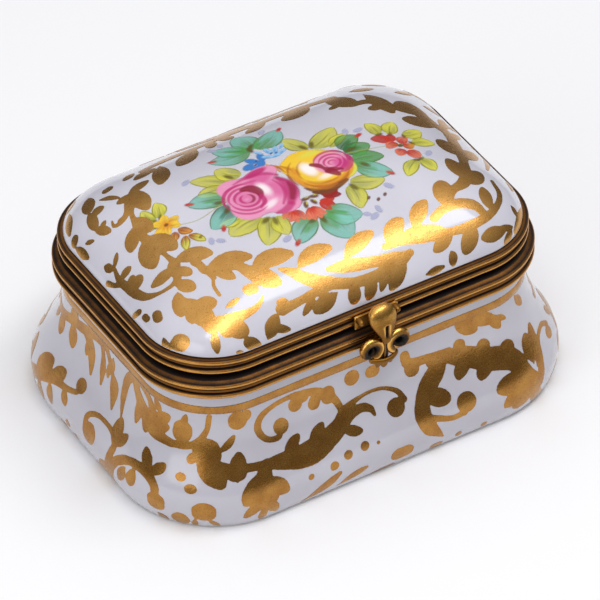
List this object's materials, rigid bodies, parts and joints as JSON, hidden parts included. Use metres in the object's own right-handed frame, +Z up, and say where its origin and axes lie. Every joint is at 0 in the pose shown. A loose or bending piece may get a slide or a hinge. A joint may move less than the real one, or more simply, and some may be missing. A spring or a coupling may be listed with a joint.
{
  "type": "porcelain trinket box",
  "caption": "Rectangular bombe porcelain box with a low domed lid hinged at the back, moulded brass rims and a lily-shaped brass clasp at the front.",
  "frame": {"origin": "centre of the foot, on the surface that the box stands on", "axes": "+X along the length, -Y towards the front with the clasp, +Z up"},
  "size_m": [0.0758, 0.0566, 0.0384],
  "materials": {
    "base_glaze": "gloss white glaze with gilding",
    "lid_glaze": "gloss white glaze with gilding and painted flowers",
    "rim_brass": "antique satin with dark patina",
    "hinge_brass": "antique satin with dark patina",
    "clasp_brass": "antique, worn bright on the high points"
  },
  "bodies": {
    "base": {"base_porcelain": "base_glaze", "base_rim": "rim_brass", "hinge_pin": "hinge_brass", "catch_stud": "clasp_brass", "base_knuckle_1": "hinge_brass", "base_knuckle_3": "hinge_brass", "base_knuckle_5": "hinge_brass"},
    "lid": {"lid_porcelain": "lid_glaze", "lid_rim": "rim_brass", "lid_knuckle_2": "hinge_brass", "lid_knuckle_4": "hinge_brass", "clasp_plate": "clasp_brass", "clasp_tongue": "clasp_brass", "clasp_drop": "clasp_brass", "clasp_band": "clasp_brass", "clasp_tail": "clasp_brass", "clasp_scroll_left": "clasp_brass", "clasp_scroll_right": "clasp_brass", "clasp_rivet_left": "clasp_brass", "clasp_rivet_right": "clasp_brass"}
  },
  "joints": [
    {"name": "lid_hinge", "type": "hinge", "parent": "base", "child": "lid", "pos_m": [0, 0.02588, 0.0263], "axis": [-1, 0, 0], "range_deg": [0, 105]}
  ]
}
